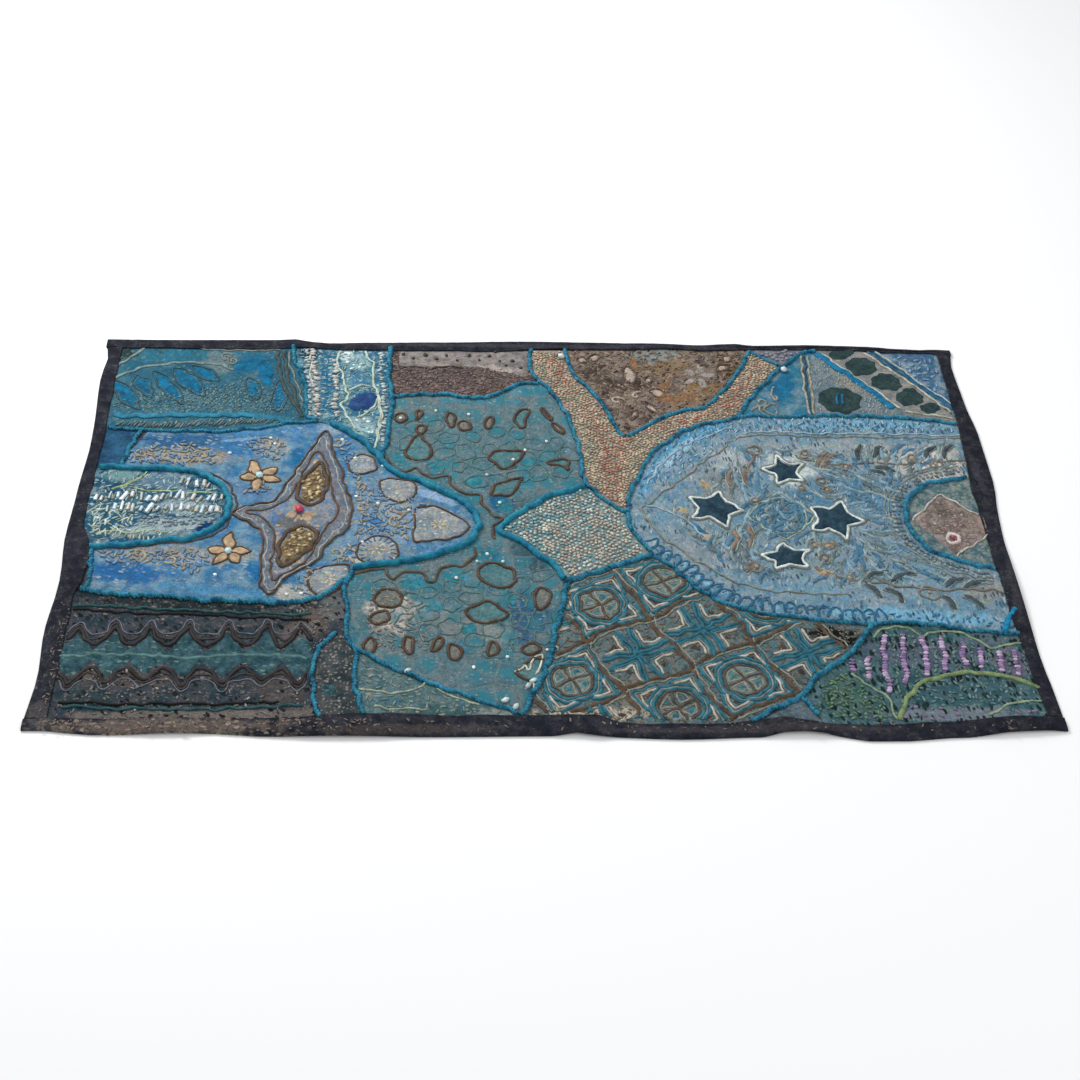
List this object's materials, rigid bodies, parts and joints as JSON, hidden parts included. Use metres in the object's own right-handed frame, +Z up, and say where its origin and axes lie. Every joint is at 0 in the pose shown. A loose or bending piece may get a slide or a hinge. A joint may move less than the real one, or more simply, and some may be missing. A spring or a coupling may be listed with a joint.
{
  "type": "patchwork wall hanging",
  "caption": "Rectangular patchwork wall hanging of embroidered and beaded cloth pieces, laid out flat, with a dark cotton binding strip sewn along each side.",
  "frame": {"origin": "centre of the cloth on the surface that it lies on", "axes": "+X along the long side, +Y towards the edge that hangs uppermost, +Z up out of the embroidered face"},
  "size_m": [1.529, 0.935, 0.0114],
  "materials": {
    "patchwork_cloth": "pieced silk and cotton scraps, muted blue and teal, worn and matt",
    "binding_cotton": "plain woven cotton, charcoal, lint flecked",
    "seam_cord": "couched twisted cord, turquoise blue, slight sheen",
    "embroidery_thread": "stranded thread and tarnished metal thread, raised outline stitch",
    "beads_sequins": "small glass beads, pearls and sequins, dulled gloss"
  },
  "bodies": {
    "root": {"patchwork_panel": "patchwork_cloth", "binding_top": "binding_cotton", "binding_bottom": "binding_cotton", "binding_right": "binding_cotton", "binding_left": "binding_cotton"}
  },
  "joints": []
}
